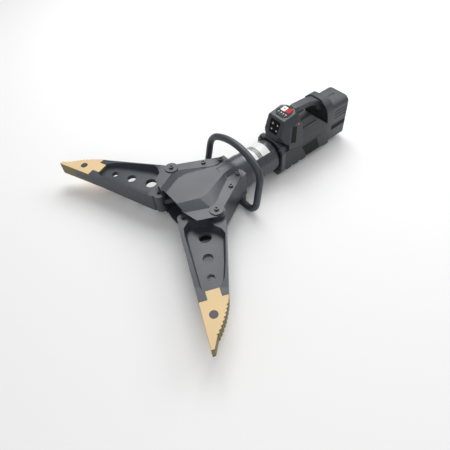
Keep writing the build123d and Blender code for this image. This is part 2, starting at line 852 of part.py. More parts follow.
def cover(up, rear_y, bolts):
    """Builds a cover; up is 1 for the upper and -1 for the lower one."""
    with BuildPart() as sheet:
        with BuildSketch(level(up * cover_low)) as outline:
            with BuildLine():
                Polyline(*mirrored(cover_outline(rear_y)), close=True)
            make_face()
            fillet(outline.vertices().group_by(Axis.Y)[0], 6)
            with Locations((pivot_x, 0), (-pivot_x, 0)):
                Circle(boss_radius)
        extrude(amount=up * cover_thickness)
        with BuildSketch(level(up * flange_top)):
            with BuildLine():
                Polyline(*mirrored(panel_base), close=True)
            make_face()
        with BuildSketch(level(up * panel_top)):
            with BuildLine():
                Polyline(*mirrored(panel_crest), close=True)
            make_face()
        loft()
        with BuildSketch(section(dome_front)):
            Circle(dome_radius)
        extrude(amount=-(dome_rear - dome_front))
        with BuildSketch(level(up * cover_low)):
            Rectangle(4 * pivot_span, 4 * pivot_span)
        extrude(amount=-up * 2 * dome_radius, mode=Mode.SUBTRACT)
        with BuildSketch(section(dome_front - cover_thickness)):
            Circle(dome_radius - cover_thickness)
        extrude(amount=-(rear_y - dome_front + cover_thickness), mode=Mode.SUBTRACT)
        with BuildSketch(level(up * (flange_top - cover_thickness))):
            with BuildLine():
                Polyline(*mirrored(shrunk(panel_base, cover_thickness)), close=True)
            make_face()
        with BuildSketch(level(up * (panel_top - cover_thickness))):
            with BuildLine():
                Polyline(*mirrored(shrunk(panel_crest, cover_thickness)), close=True)
            make_face()
        loft(mode=Mode.SUBTRACT)
        with BuildSketch(level(up * cover_low)):
            with Locations((pivot_x, 0), (-pivot_x, 0)):
                Circle(boss_radius - 2)
        extrude(amount=up * (cover_thickness + boss_height))
        with BuildSketch(level(0)):
            with Locations((0, rear_y + 60)):
                Rectangle(4 * pivot_span, 120)
        extrude(amount=up * 2 * dome_radius, mode=Mode.SUBTRACT)
        with BuildSketch(level(0)):
            with Locations((pivot_x, 0), (-pivot_x, 0)):
                Circle(bolt_shank_radius + seat_gap)
            with Locations(*bolts, *((-x, y) for x, y in bolts)):
                Circle(bolt_shank_radius + seat_gap)
        extrude(amount=up * 2 * dome_radius, mode=Mode.SUBTRACT)
    return sheet


upper_cover = cover(1, cover_rear_upper, cover_bolts_upper)
lower_cover = cover(-1, cover_rear_lower, cover_bolts_lower)
save(upper_cover, "upper_cover")
save(lower_cover, "lower_cover")

# Screws that hold the covers to the yoke's cheek plates
with BuildPart() as cover_bolts:
    for up, bolts in ((1, cover_bolts_upper), (-1, cover_bolts_lower)):
        places = (*bolts, *((-x, y) for x, y in bolts))
        with BuildSketch(level(up * flange_top)):
            with Locations(*places):
                Circle(bolt_head_radius)
        extrude(amount=up * bolt_head_height)
        with BuildSketch(level(up * (flange_top - bolt_length))):
            with Locations(*places):
                Circle(bolt_shank_radius)
        extrude(amount=up * bolt_length)
        with BuildSketch(level(up * (flange_top + bolt_head_height - 3))):
            with Locations(*places):
                RegularPolygon(3, 6)
        extrude(amount=up * 3, mode=Mode.SUBTRACT)
save(cover_bolts, "cover_bolts")

# Arm pivots: hollow pins pressed into the ears, a long bolt through each and a nut below
boss_top = cover_low + cover_thickness + boss_height
with BuildPart() as pivot_pins:
    with BuildSketch(level(0)):
        with Locations((pivot_x, 0), (-pivot_x, 0)):
            Circle(pivot_pin_radius)
            Circle(bolt_shank_radius + seat_gap, mode=Mode.SUBTRACT)
    extrude(amount=ear_top, both=True)
save(pivot_pins, "pivot_pins")

with BuildPart() as pivot_bolts:
    with BuildSketch(level(-boss_top - 1)):
        with Locations((pivot_x, 0), (-pivot_x, 0)):
            Circle(bolt_shank_radius)
    extrude(amount=2 * boss_top + 1)
    with BuildSketch(level(boss_top)):
        with Locations((pivot_x, 0), (-pivot_x, 0)):
            Circle(bolt_head_radius)
    extrude(amount=bolt_head_height)
    with BuildSketch(level(boss_top + bolt_head_height - 3)):
        with Locations((pivot_x, 0), (-pivot_x, 0)):
            RegularPolygon(3, 6)
    extrude(amount=3, mode=Mode.SUBTRACT)
save(pivot_bolts, "pivot_bolts")

with BuildPart() as pivot_nuts:
    with BuildSketch(level(-axis_height)):
        with Locations((pivot_x, 0), (-pivot_x, 0)):
            RegularPolygon(nut_radius, 6)
    extrude(amount=axis_height - boss_top)
    with BuildSketch(level(-boss_top - 1 - seat_gap)):
        with Locations((pivot_x, 0), (-pivot_x, 0)):
            Circle(bolt_shank_radius)
    extrude(amount=4, mode=Mode.SUBTRACT)
save(pivot_nuts, "pivot_nuts")

# Hoop handle: one bent tube in a leaning plane, its ends in two lugs under the barrel
lean = atan2(hoop_lean, 1)
hoop_plane = Plane(
    origin=(0, pivot_y + hoop_base_y, axis_height),
    x_dir=(1, 0, 0),
    z_dir=(0, -cos(lean), sin(lean)),
)
slant = 1 / cos(lean)
with BuildPart() as handle:
    with BuildLine(hoop_plane) as hoop_line:
        bottom = hoop_bottom * slant
        shoulder = (hoop_top - hoop_arch) * slant
        Line((-hoop_end_x, bottom), (-hoop_side_x, bottom))
        Line((-hoop_side_x, bottom), (-hoop_shoulder_x, shoulder))
        ThreePointArc((-hoop_shoulder_x, shoulder), (0, hoop_top * slant), (hoop_shoulder_x, shoulder))
        Line((hoop_shoulder_x, shoulder), (hoop_side_x, bottom))
        Line((hoop_side_x, bottom), (hoop_end_x, bottom))
        corners = hoop_line.vertices().filter_by(lambda v: abs(v.X) > hoop_shoulder_x - 1)
        fillet(corners.filter_by(lambda v: v.Z > axis_height), hoop_top_radius)
        corners = hoop_line.vertices().filter_by(lambda v: abs(v.X) > hoop_side_x - 1)
        fillet(corners.filter_by(lambda v: v.Z < axis_height), hoop_bottom_radius)
    with BuildSketch(Plane(origin=hoop_line.wires()[0] @ 0, z_dir=hoop_line.wires()[0] % 0)):
        Circle(hoop_tube_radius)
        Circle(hoop_tube_radius - hoop_wall, mode=Mode.SUBTRACT)
    sweep(path=hoop_line.wires()[0])
save(handle, "handle")

# Screws that clamp the handle's ends in the yoke's lugs
with BuildPart() as handle_screws:
    with BuildSketch(section(lug_front)):
        with Locations((lug_center_x, hoop_bottom), (-lug_center_x, hoop_bottom)):
            Circle(bolt_head_radius)
    extrude(amount=bolt_head_height)
    with BuildSketch(section(lug_front)):
        with Locations((lug_center_x, hoop_bottom), (-lug_center_x, hoop_bottom)):
            Circle(screw_radius)
    extrude(amount=-lug_wall)
    with BuildSketch(section(lug_front - bolt_head_height)):
        with Locations((lug_center_x, hoop_bottom), (-lug_center_x, hoop_bottom)):
            RegularPolygon(3, 6)
    extrude(amount=-3, mode=Mode.SUBTRACT)
save(handle_screws, "handle_screws")

# Pump unit: an eight-sided flange bolted to the cylinder, and housings behind it
housing_bottom = -axis_height + foot_height


def housing_outline(margin, top):
    """Cross-section of the lower housing, right half, from the bottom upwards."""
    return (
        (housing_bottom_half + margin / 2, housing_bottom - margin),
        (housing_half + margin, housing_chamfer_top - margin / 2),
        (housing_half + margin, top),
    )


def mirrored_section(points):
    return (*points, *((-x, z) for x, z in reversed(points)))


flange_shape = (
    *housing_outline(flange_margin, belt_front),
    (flange_shoulder_x, flange_shoulder_z),
    (flange_top_x, flange_top_z),
)
spigot_shape = (
    *housing_outline(-shell_wall - seat_gap, belt_front - 4),
    (flange_shoulder_x - 5, flange_shoulder_z - 5),
    (flange_top_x - 2, flange_top_z - 8),
)
with BuildPart() as pump_flange:
    with BuildSketch(section(flange_start)):
        with BuildLine():
            Polyline(*mirrored_section(flange_shape), close=True)
        make_face()
    extrude(amount=-flange_length)
    chamfer(pump_flange.faces().sort_by(Axis.Y)[0].edges(), flange_chamfer)
    with BuildSketch(section(flange_start + flange_length)):
        with BuildLine():
            Polyline(*mirrored_section(spigot_shape), close=True)
        make_face()
    extrude(amount=-spigot_length)
    with BuildSketch(section(flange_start)):
        with Locations(*flange_screw_places):
            Circle(screw_radius)
    extrude(amount=-flange_length, mode=Mode.SUBTRACT)
save(pump_flange, "pump_flange")

with BuildPart() as flange_screws:
    with BuildSketch(section(flange_start)):
        with Locations(*flange_screw_places):
            Circle(screw_head_radius)
    extrude(amount=screw_head_height)
    with BuildSketch(section(flange_start)):
        with Locations(*flange_screw_places):
            Circle(screw_radius)
    extrude(amount=-flange_length)
save(flange_screws, "flange_screws")

# Lower housing: an open tub whose rim slopes down to the rear, closed at its rear end
housing_start = flange_start + flange_length
rim_outline = (
    (housing_start, belt_front),
    (belt_front_y, belt_front),
    (belt_rear_y, belt_rear),
    (housing_end, belt_rear),
)
with BuildPart() as lower_housing:
    with BuildSketch(section(housing_start)):
        with BuildLine():
            Polyline(*mirrored_section(housing_outline(0, belt_front)), close=True)
        make_face()
    extrude(amount=-(housing_end - housing_start))
    with BuildSketch(section(housing_start)):
        with BuildLine():
            Polyline(*mirrored_section(housing_outline(-shell_wall, belt_front)), close=True)
        make_face()
    extrude(amount=-(housing_end - housing_start - shell_wall), mode=Mode.SUBTRACT)
    with BuildSketch(side(0)):
        with BuildLine():
            Polyline(
                *rim_outline,
                (housing_end, belt_front + 1),
                (housing_start, belt_front + 1),
                close=True,
            )
        make_face()
    extrude(amount=2 * housing_half, both=True, mode=Mode.SUBTRACT)
    with BuildSketch(side(0)):
        with BuildLine():
            Polyline(
                (tail_start, housing_bottom - 1),
                (housing_end + 1, housing_bottom - 1),
                (housing_end + 1, battery_bottom),
                (tail_start + tail_slope, battery_bottom),
                close=True,
            )
        make_face()
    extrude(amount=2 * housing_half, both=True, mode=Mode.SUBTRACT)
    with BuildSketch(level(battery_bottom)):
        with Locations((0, (tail_start + tail_slope + housing_end) / 2 - 4)):
            Rectangle(2 * (housing_bottom_half + 6), housing_end - tail_start - tail_slope + 8)
    extrude(amount=shell_wall)
save(lower_housing, "lower_housing")

# Rubber feet under the lower housing
with BuildPart() as feet:
    with BuildSketch(level(-axis_height)):
        for y in foot_rows:
            with Locations((foot_x, y), (-foot_x, y)):
                RectangleRounded(foot_width, foot_length, 3)
    extrude(amount=foot_height)
save(feet, "feet")

# Control head: a faceted shell in front of the motor cover, its front face leaning back
face_lean = atan2(head_front_top_y - head_front_y, head_front_top_z - head_front_z)
top_slope = atan2(head_rear_top_z - head_front_top_z, head_top_rear_y - head_front_top_y)
top_plane = Plane(
    origin=(0, pivot_y + head_front_top_y, axis_height + head_front_top_z),
    x_dir=(1, 0, 0),
    z_dir=(0, -sin(top_slope), cos(top_slope)),
)
face_plane = Plane(
    origin=(0, pivot_y + head_front_y, axis_height + head_front_z),
    x_dir=(1, 0, 0),
    z_dir=(0, -cos(face_lean), sin(face_lean)),
)


def head_plane(sign, normal, point, depth):
    """Plane of one of the head's slanted faces, moved inwards by depth; sign is -1 on the left."""
    origin = (sign * point[0], pivot_y + point[1], axis_height + point[2])
    return Plane(origin=origin, z_dir=(sign * normal[0], normal[1], normal[2])).offset(-depth)


def belt_height(y):
    """Height of the joint between the housings behind the head's front."""
    return belt_front + (belt_rear - belt_front) * (y - belt_front_y) / (belt_rear_y - belt_front_y)


slanted_faces = (
    (facet_normal, facet_point),
    (crown_normal, crown_point),
    (side_normal, side_point),
    (chin_normal, chin_point),
    (nape_normal, nape_point),
)


def head_body(wall):
    """The head's outer form moved inwards by wall all round; it is open below."""
    profile = (
        (head_front_y + wall * 1.2, head_front_z + wall),
        (head_front_top_y + wall, head_front_top_z - wall * 1.2),
        (head_top_rear_y, head_rear_top_z - wall * 1.2),
        (head_rear_y - wall, head_corner_z - wall),
        (head_rear_y - wall, -axis_height / 2),
        (collar_front + wall, -axis_height / 2),
        (collar_front + wall, collar_top + wall),
        (head_chin_y + wall, head_front_z + wall),
    )
    with BuildPart() as body:
        with BuildSketch(side(0)):
            with BuildLine():
                Polyline(*profile, close=True)
            make_face()
        extrude(amount=housing_half - wall, both=True)
        for normal, point in slanted_faces:
            for sign in (1, -1):
                split(bisect_by=head_plane(sign, normal, point, wall), keep=Keep.BOTTOM)
        if wall == 0:
            upper_edges = body.edges().filter_by(
                lambda e: e.center().Z > axis_height + head_front_z + 4
                and e.center().Y < pivot_y + head_rear_y - 1)
            fillet(upper_edges, head_fillet)
    return body


head_shell = head_body(0)
head_space = head_body(shell_wall)
display_shape = (
    (display_half - 10, display_start),
    (display_half, display_start + 10),
    (display_half, display_start + 20),
    (display_half - 6, display_start + display_length - 6),
    (4, display_start + display_length),
)
light_shape = (
    (light_half_bottom - 3, light_start),
    (light_half_bottom, light_start + 4),
    (light_half_top, light_start + light_height - 4),
    (light_half_top - 3, light_start + light_height),
)

with BuildPart() as control_head:
    add(head_shell.part)
    add(head_space.part, mode=Mode.SUBTRACT)
    with BuildSketch(section(head_rear_y)):
        with Locations((0, (motor_head_top - axis_height) / 2)):
            Rectangle(2 * (motor_radius + shell_wall), motor_head_top + axis_height)
    extrude(amount=shell_wall * 3, mode=Mode.SUBTRACT)
    with BuildSketch(section(collar_front)):
        with Locations((0, pump_height)):
            Rectangle(pump_width + 2, pump_width + 2)
    extrude(amount=-2 * shell_wall, mode=Mode.SUBTRACT)
    with BuildSketch(top_plane.offset(-display_floor)):
        Polygon(*mirrored(display_shape), align=None)
    extrude(amount=display_floor - shell_wall)
    with BuildSketch(top_plane):
        Polygon(*mirrored(display_shape), align=None)
    extrude(amount=-display_recess, mode=Mode.SUBTRACT)
    with BuildSketch(face_plane.offset(-light_recess - shell_wall)):
        Polygon(*mirrored(light_shape), align=None)
        offset(amount=shell_wall)
    extrude(amount=light_recess)
    with BuildSketch(face_plane):
        Polygon(*mirrored(light_shape), align=None)
    extrude(amount=-light_recess, mode=Mode.SUBTRACT)
    with BuildSketch(side(0)):
        with BuildLine():
            Polyline(
                (collar_front - 1, belt_height(collar_front - 1) + belt_gap),
                (belt_rear_y, belt_rear + belt_gap),
                (belt_rear_y, -axis_height),
                (collar_front - 1, -axis_height),
                close=True,
            )
        make_face()
    extrude(amount=2 * housing_half, both=True, mode=Mode.SUBTRACT)
save(control_head, "control_head")

# Flat black trim strip on each side of the head
strip_outline = ((312.4, -0.3), (328.7, -6.0), (322.5, -55.0), (304.0, -49.0))
side_plane = Plane(
    origin=(side_point[0], pivot_y, axis_height + side_point[2]),
    x_dir=(0, 1, 0),
    z_dir=side_normal,
)
with BuildPart() as head_strips:
    with BuildSketch(side_plane):
        Polygon(*strip_outline, align=None)
    extrude(amount=trim_thickness)
    mirror(about=Plane.YZ)
save(head_strips, "head_strips")

# Status light in the head's right side
with BuildPart() as status_light:
    with BuildSketch(side_plane):
        with Locations((status_light_y, status_light_z - side_point[2])):
            Circle(status_light_radius)
    extrude(amount=trim_thickness)
save(status_light, "status_light")

# Display on the head: a black frame with a white field and a red on and off button
with BuildPart() as display_panel:
    with BuildSketch(top_plane.offset(-display_recess)):
        Polygon(*mirrored(display_shape), align=None)
    extrude(amount=display_recess + display_proud)
    with BuildSketch(top_plane.offset(display_proud)):
        with Locations(display_window_place):
            RectangleRounded(*display_window_size, 2)
        with Locations(power_button_place):
            RectangleRounded(*power_button_size, 3)
    extrude(amount=-display_pocket, mode=Mode.SUBTRACT)
save(display_panel, "display_panel")

with BuildPart() as display_window:
    with BuildSketch(top_plane.offset(display_proud - display_pocket)):
        with Locations(display_window_place):
            RectangleRounded(*display_window_size, 2)
    extrude(amount=display_pocket)
save(display_window, "display_window")

with BuildPart() as power_button:
    with BuildSketch(top_plane.offset(display_proud + button_proud)):
        with Locations(power_button_place):
            RectangleRounded(power_button_size[0] - button_gap, power_button_size[1] - button_gap, 2.5)
    extrude(amount=-(display_pocket + button_proud - button_travel))
save(power_button, "power_button")

# Work lights in the front face: four lenses in a reflector plate
with BuildPart() as light_reflector:
    with BuildSketch(face_plane.offset(-light_recess)):
        Polygon(*mirrored(light_shape), align=None)
    extrude(amount=reflector_thickness)
    with BuildSketch(face_plane.offset(-light_recess + reflector_thickness)):
        with Locations(*light_places):
            Circle(light_radius)
    extrude(amount=-light_seat, mode=Mode.SUBTRACT)
save(light_reflector, "light_reflector")

with BuildPart() as light_lenses:
    with BuildSketch(face_plane.offset(-light_recess + reflector_thickness - light_seat)):
        with Locations(*light_places):
            Circle(light_radius)
    extrude(amount=light_seat + 1)
save(light_lenses, "light_lenses")

# Motor cover: a shell with a rounded hump between two shoulders, its rear wall slanted
cover_front = head_rear_y + seat_gap


def side_x(height):
    """Where the sloping side stands at a height, no further out than the housing's side."""
    slope = side_normal[2] / side_normal[0]
    return min(side_point[0] + (side_point[2] - height) * slope, housing_half)


cover_shape = (
    (housing_half, -2 * axis_height),
    (housing_half, side_point[2] - (housing_half - side_point[0]) * side_normal[0] / side_normal[2]),
    (side_x(cover_shoulder_z), cover_shoulder_z),
    (shoulder_start_x, cover_shoulder_z),
    (hump_half, cover_top_z),
)


def cover_body(wall):
    """The motor cover's outer form moved inwards by wall."""
    with BuildPart() as body:
        with BuildSketch(section(cover_front + wall)) as outline:
            Polygon(*mirrored_section(cover_shape), align=None)
            fillet(outline.vertices().group_by(Axis.Y)[-1], hump_fillet)
            shoulders = outline.vertices().filter_by(
                lambda v: abs(v.Y - cover_shoulder_z) < 0.1 and abs(v.X) > hump_half)
            fillet(shoulders, shoulder_fillet)
            if wall > 0:
                offset(amount=-wall, mode=Mode.REPLACE)
        extrude(amount=-(housing_end - cover_front - 2 * wall))
        with BuildSketch(side(0)):
            with BuildLine():
                Polyline(
                    (cover_top_end - wall, cover_top_z + 5),
                    (cover_top_end - wall, cover_top_z),
                    (housing_end - wall, cover_rear_z),
                    (housing_end + 5, cover_rear_z),
                    (housing_end + 5, cover_top_z + 5),
                    close=True,
                )
            make_face()
        extrude(amount=2 * housing_half, both=True, mode=Mode.SUBTRACT)
    return body


cover_shell = cover_body(0)
cover_space = cover_body(shell_wall)
with BuildPart() as motor_cover:
    add(cover_shell.part)
    add(cover_space.part, mode=Mode.SUBTRACT)
    with BuildSketch(section(cover_front)):
        with Locations((0, motor_height)):
            Circle(motor_radius + shell_wall)
    extrude(amount=-2 * shell_wall, mode=Mode.SUBTRACT)
    with BuildSketch(side(0)):
        with BuildLine():
            Polyline(
                (cover_front - 1, belt_height(cover_front - 1) + belt_gap),
                (belt_rear_y, belt_rear + belt_gap),
                (housing_end + 1, belt_rear + belt_gap),
                (housing_end + 1, -3 * axis_height),
                (cover_front - 1, -3 * axis_height),
                close=True,
            )
        make_face()
    extrude(amount=2 * housing_half, both=True, mode=Mode.SUBTRACT)
    with BuildSketch(level(cover_shoulder_z + 1)):
        for sign in (1, -1):
            with Locations(*((sign * vent_x, vent_start + i * vent_pitch) for i in range(vent_count))):
                SlotOverall(vent_length, vent_width)
    extrude(amount=-2 * shell_wall, mode=Mode.SUBTRACT)
save(motor_cover, "motor_cover")

# Bare trim plate on each side of the lower housing
plate_outline = ((352, 9), (414, 10), (430, -33), (374, -31))
with BuildPart() as side_plates:
    with BuildSketch(side(housing_half)):
        with BuildLine():
            Polyline(*plate_outline, close=True)
        make_face()
    extrude(amount=trim_thickness)
    mirror(about=Plane.YZ)
save(side_plates, "side_plates")

# Dock behind the housings: carries the battery and the grip's rear end
dock_profile = (
    (housing_end + seat_gap, battery_bottom),
    (housing_end + seat_gap, cover_rear_z - 2),
    (dock_front + 13, cover_rear_z - 2),
    (dock_front, dock_top - 7),
    (dock_front + 4, dock_top),
    (battery_start - 5, dock_top),
    (battery_start, dock_top - 7),
    (battery_start, battery_bottom),
)
socket_middle = (battery_top + battery_bottom) / 2
socket_height = battery_top - battery_bottom - 36
with BuildPart() as battery_dock:
    with BuildSketch(section(dock_front)) as arch:
        with Locations((0, (dock_top + battery_bottom) / 2)):
            Rectangle(2 * dock_half, dock_top - battery_bottom)
        fillet(arch.vertices().group_by(Axis.Y)[-1], dock_corner)
    extrude(amount=-(battery_start - dock_front))
    with BuildSketch(side(0)):
        with BuildLine():
            Polyline(*dock_profile, close=True)
        make_face()
    extrude(amount=dock_half, both=True, mode=Mode.INTERSECT)
    with BuildSketch(section(dock_front - 1)) as arch_pocket:
        with Locations((0, (dock_top + cover_rear_z) / 2)):
            Rectangle(2 * (dock_half - dock_rim), dock_top - cover_rear_z - 2 * dock_rim)
        fillet(arch_pocket.vertices().group_by(Axis.Y)[-1], dock_corner - dock_rim)
    extrude(amount=-(dock_pocket_end - dock_front + 1), mode=Mode.SUBTRACT)
    with BuildSketch(section(battery_start)):
        with Locations((0, socket_middle)):
            RectangleRounded(2 * socket_half, socket_height, 4)
    extrude(amount=socket_depth, mode=Mode.SUBTRACT)
save(battery_dock, "battery_dock")

# Spring contacts in the dock, and the battery that is pushed on from the rear
contact_front = battery_start - socket_depth
with BuildPart() as battery_contacts:
    with BuildSketch(section(contact_front)):
        with Locations(*((x, socket_middle) for x in contact_places)):
            Rectangle(contact_thickness, contact_height)
    extrude(amount=-contact_length)
save(battery_contacts, "battery_contacts")

case_front = battery_start + seat_gap
with BuildPart() as battery_case:
    with BuildSketch(section(case_front)) as case_outline:
        with Locations((0, socket_middle)):
            Rectangle(2 * battery_half, battery_top - battery_bottom)
        fillet(case_outline.vertices().group_by(Axis.Y)[-1], battery_corner)
        fillet(case_outline.vertices().group_by(Axis.Y)[0], battery_foot)
    extrude(amount=-(battery_end - case_front))
    fillet(battery_case.faces().sort_by(Axis.Y)[-1].edges(), battery_rear_fillet)
    with BuildSketch(section(case_front)):
        with Locations((0, socket_middle)):
            RectangleRounded(2 * (socket_half - slide_gap), socket_height - 2 * slide_gap, 4)
    extrude(amount=socket_depth - 2 * slide_gap)
    with BuildSketch(section(case_front + battery_wall)) as case_space:
        with Locations((0, socket_middle)):
            Rectangle(2 * (battery_half - battery_wall), battery_top - battery_bottom - 2 * battery_wall)
        fillet(case_space.vertices().group_by(Axis.Y)[-1], battery_corner - battery_wall)
        fillet(case_space.vertices().group_by(Axis.Y)[0], battery_foot - battery_wall)
    extrude(amount=-(battery_end - case_front - 2 * battery_wall), mode=Mode.SUBTRACT)
    with BuildSketch(section(contact_front - 1)):
        with Locations(*((x, socket_middle) for x in contact_places)):
            Rectangle(contact_thickness + 2 * slide_gap, contact_height + 2 * slide_gap)
    extrude(amount=-(socket_depth + battery_wall + 2), mode=Mode.SUBTRACT)
    for sign in (1, -1):
        with BuildSketch(side(sign * (battery_half + 1))):
            with Locations((latch_y, latch_z)):
                RectangleRounded(latch_length + 2 * slide_gap, latch_height + 2 * slide_gap, 3)
        extrude(amount=-sign * (battery_wall + 2), mode=Mode.SUBTRACT)
        with BuildSketch(side(sign * (battery_half + 1))):
            with Locations(*((latch_y, z) for z in groove_places)):
                SlotOverall(groove_length, groove_width)
        extrude(amount=-sign * (groove_depth + 1), mode=Mode.SUBTRACT)
    with BuildSketch(level(battery_top + 1)):
        with Locations((0, top_slot_y)):
            SlotOverall(top_slot_length, top_slot_width, rotation=90)
    extrude(amount=-(groove_depth + 1), mode=Mode.SUBTRACT)
save(battery_case, "battery_case")

with BuildPart() as battery_latch:
    with BuildSketch(side(battery_half - latch_sunk)):
        with Locations((latch_y, latch_z)):
            RectangleRounded(latch_length, latch_height, 3)
    extrude(amount=-(battery_wall - latch_sunk + 1))
save_pair(battery_latch, "battery_latch")

with BuildPart() as battery_cells:
    with BuildSketch(section(case_front + battery_wall + 1)):
        with Locations((0, socket_middle)):
            with GridLocations(cell_pitch, cell_pitch, cell_columns, cell_rows):
                Circle(cell_radius)
    extrude(amount=-cell_length)
save(battery_cells, "battery_cells")

# Grip between the head and the dock, with a rubber sleeve and the control rocker under its front
grip_front = head_rear_y + seat_gap
grip_rear = dock_pocket_end
grip_profile = (
    (grip_front, grip_top - 1),
    (grip_front + 8, grip_top + 1),
    (grip_middle_y, grip_top - 2),
    (grip_drop_y, grip_top - 9),
    (grip_rear, dock_top - 13),
    (grip_rear, dock_top - 40),
    (dock_front - 3, dock_top - 34),
    (grip_drop_y, grip_top - 11 - grip_height),
    (grip_middle_y, grip_top - 2 - grip_height),
    (grip_front + 10, grip_top - grip_height),
    (grip_front, grip_top - grip_height - 6),
)
with BuildPart() as grip:
    with BuildSketch(side(0)):
        with BuildLine():
            Polyline(*grip_profile, close=True)
        make_face()
    extrude(amount=grip_half, both=True)
    long_edges = grip.edges().filter_by(
        lambda e: abs(abs(e.center().X) - grip_half) < 0.1
        and pivot_y + grip_front + 1 < e.center().Y < pivot_y + dock_front - 6)
    fillet(long_edges, grip_fillet)
    with BuildSketch(side(0)):
        with Locations((switch_y, switch_z)):
            Rectangle(switch_length + 2 * switch_play, switch_pocket)
    extrude(amount=switch_width / 2 + slide_gap, both=True, mode=Mode.SUBTRACT)
    add(battery_dock.part, mode=Mode.SUBTRACT)
save(grip, "grip")

with BuildPart() as control_rocker:
    with BuildSketch(side(0)):
        with BuildLine():
            Polyline(
                (switch_y - switch_length / 2, switch_z),
                (switch_y, switch_z + 3),
                (switch_y + switch_length / 2, switch_z),
                (switch_y + switch_length / 2, switch_z - switch_pocket / 2 - 2.5),
                (switch_y + 5, switch_z - switch_pocket / 2 - 4),
                (switch_y, switch_z - switch_pocket / 2 - 1.5),
                (switch_y - 5, switch_z - switch_pocket / 2 - 4),
                (switch_y - switch_length / 2, switch_z - switch_pocket / 2 - 2.5),
                close=True,
            )
        make_face()
        with Locations((switch_y, switch_z + 2.5)):
            Circle(switch_pivot_radius)
    extrude(amount=switch_width / 2, both=True)
save(control_rocker, "control_rocker")

# Inside the pump unit: pump, motor with its rotor, oil bladder and circuit board
with BuildPart() as pump_block:
    with BuildSketch(section(housing_start + spigot_length + seat_gap)):
        with Locations((0, pump_height)):
            RectangleRounded(pump_width, pump_width, 8)
    extrude(amount=-pump_length)
    with BuildSketch(section(housing_start + spigot_length + pump_length - 12)):
        with Locations((0, motor_height)):
            Circle(shaft_radius + running_gap)
    extrude(amount=-20, mode=Mode.SUBTRACT)
save(pump_block, "pump_block")

motor_start = housing_start + spigot_length + pump_length + seat_gap
with BuildPart() as motor_case:
    with BuildSketch(section(motor_start)):
        with Locations((0, motor_height)):
            Circle(motor_radius)
    extrude(amount=-motor_length)
    with BuildSketch(section(motor_start + 5)):
        with Locations((0, motor_height)):
            Circle(rotor_radius + slide_gap)
    extrude(amount=-(motor_length - 10), mode=Mode.SUBTRACT)
    with BuildSketch(section(motor_start - 1)):
        with Locations((0, motor_height)):
            Circle(shaft_radius + running_gap)
    extrude(amount=-(motor_length - 2), mode=Mode.SUBTRACT)
save(motor_case, "motor_case")

with BuildPart() as motor_rotor:
    with BuildSketch(section(motor_start + 6)):
        with Locations((0, motor_height)):
            Circle(rotor_radius)
    extrude(amount=-(motor_length - 12))
    with BuildSketch(section(motor_start - 10)):
        with Locations((0, motor_height)):
            Circle(shaft_radius)
    extrude(amount=-(motor_length + 4))
save(motor_rotor, "motor_rotor")

with BuildPart() as oil_bladder:
    with BuildSketch(level(housing_bottom + shell_wall + seat_gap)):
        with Locations((0, motor_start + motor_length / 2 - 10)):
            RectangleRounded(bladder_width, motor_length - 22, 8)
    extrude(amount=bladder_height)
    fillet(oil_bladder.faces().sort_by(Axis.Z)[-1].edges(), 5)
save(oil_bladder, "oil_bladder")

with BuildPart() as circuit_board:
    with BuildSketch(level(board_height)):
        with Locations((0, head_rear_y - board_length / 2 - 6)):
            Rectangle(board_width, board_length)
    extrude(amount=1.6)
    with BuildSketch(level(board_height + 1.6)):
        with Locations((0, head_rear_y - board_length / 2 - 6)):
            with GridLocations(16, 14, 3, 2):
                Rectangle(9, 8)
    extrude(amount=3)
save(circuit_board, "circuit_board")
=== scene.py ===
import json
import math

import bpy
from mathutils import Matrix, Vector


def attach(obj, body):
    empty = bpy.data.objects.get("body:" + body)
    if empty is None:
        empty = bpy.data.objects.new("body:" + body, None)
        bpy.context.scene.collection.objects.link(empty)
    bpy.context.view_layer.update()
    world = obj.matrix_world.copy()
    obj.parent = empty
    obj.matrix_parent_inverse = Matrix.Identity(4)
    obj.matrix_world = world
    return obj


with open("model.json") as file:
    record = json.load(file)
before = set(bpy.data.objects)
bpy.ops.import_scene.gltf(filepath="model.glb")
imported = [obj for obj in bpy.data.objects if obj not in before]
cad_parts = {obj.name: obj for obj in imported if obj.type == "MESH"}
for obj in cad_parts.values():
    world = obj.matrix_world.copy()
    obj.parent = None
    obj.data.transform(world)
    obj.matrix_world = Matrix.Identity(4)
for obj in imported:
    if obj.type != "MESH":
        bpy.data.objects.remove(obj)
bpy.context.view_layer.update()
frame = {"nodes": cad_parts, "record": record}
nodes = frame["nodes"]


# Materials
patch_scale = 14.0            # noise scales, per metre
wear_scale = 60.0
edge_rounding = 0.0007        # metres
speckle_gain = 1.35
rough_spread = 0.05


def add_node(tree, kind, **values):
    """New shader node; values set its inputs by name, or its own settings."""
    node = tree.nodes.new(kind)
    for key, value in values.items():
        if hasattr(node, key):
            setattr(node, key, value)
        else:
            node.inputs[key.replace("_", " ")].default_value = value
    return node


def noise(tree, coords, scale, detail=3.0, stretch=None):
    """Value of a noise over the object's own coordinates, in metres."""
    source = coords.outputs["Object"]
    if stretch:
        mapping = add_node(tree, "ShaderNodeMapping")
        mapping.inputs["Scale"].default_value = stretch
        tree.links.new(source, mapping.inputs["Vector"])
        source = mapping.outputs["Vector"]
    tex = add_node(tree, "ShaderNodeTexNoise", Scale=scale, Detail=detail)
    tree.links.new(source, tex.inputs["Vector"])
    return tex.outputs["Fac"]


def spread(tree, value, low, high):
    """The value's middle range, mapped to low to high."""
    rng = add_node(tree, "ShaderNodeMapRange")
    rng.inputs["From Min"].default_value = 0.3
    rng.inputs["From Max"].default_value = 0.7
    rng.inputs["To Min"].default_value = low
    rng.inputs["To Max"].default_value = high
    tree.links.new(value, rng.inputs["Value"])
    return rng.outputs["Result"]


